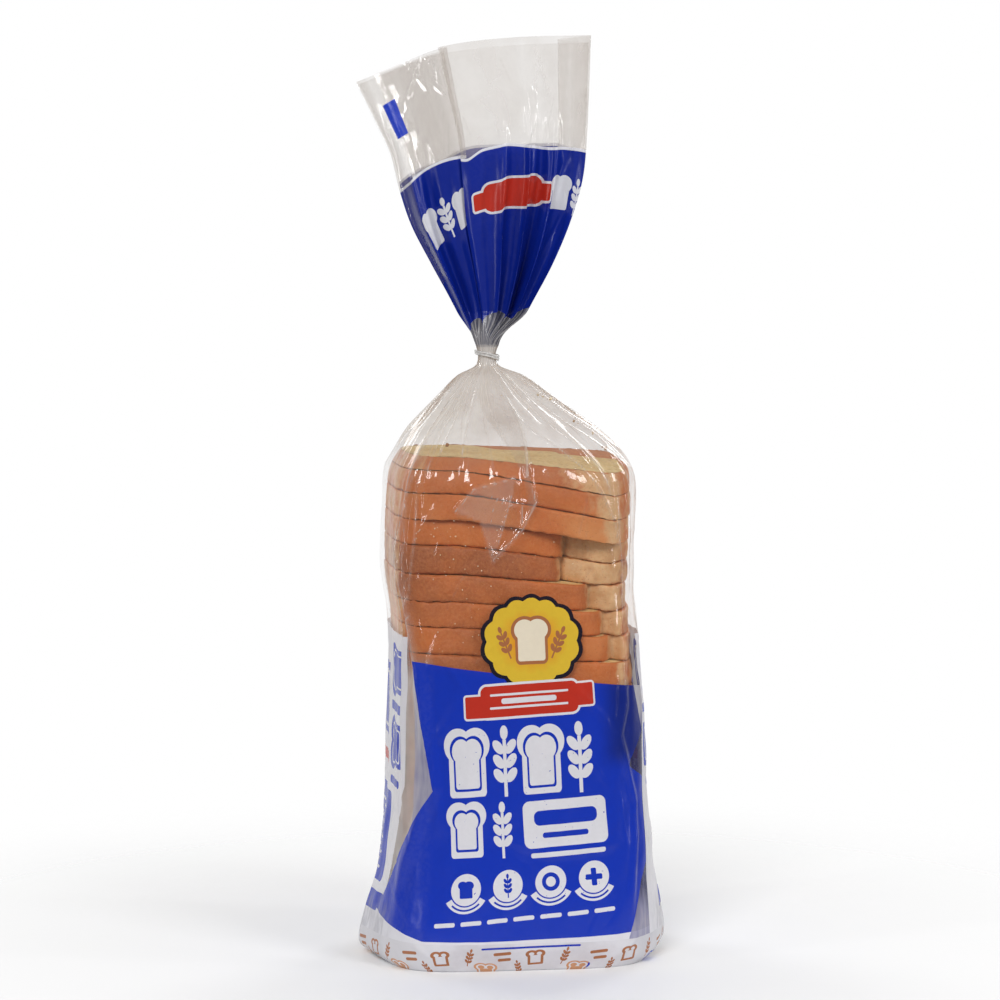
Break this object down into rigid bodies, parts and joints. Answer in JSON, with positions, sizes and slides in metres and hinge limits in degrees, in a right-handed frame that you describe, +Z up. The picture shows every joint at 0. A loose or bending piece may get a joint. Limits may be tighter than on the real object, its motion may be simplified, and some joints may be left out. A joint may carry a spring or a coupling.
{
  "type": "loaf in bread bag",
  "caption": "Sliced tin loaf standing on end in a clear printed film bag, gathered by a tie above the loaf, with the film fanned out flat over the tie.",
  "frame": {"origin": "middle of the flat base that the bag stands on", "axes": "+Z up through the loaf to the neck and mouth, -Y out of the front panel that the crown of every slice faces, +X to the viewer's right"},
  "size_m": [0.1404, 0.1026, 0.414],
  "materials": {
    "film": "clear thin film with printed blue and white panels",
    "tie": "clear narrow band",
    "bread": "baked crust, dry and slightly satin, with pale crumb where cut"
  },
  "bodies": {
    "root": {"bag": "film", "neck_tie": "tie"}
  },
  "joints": []
}
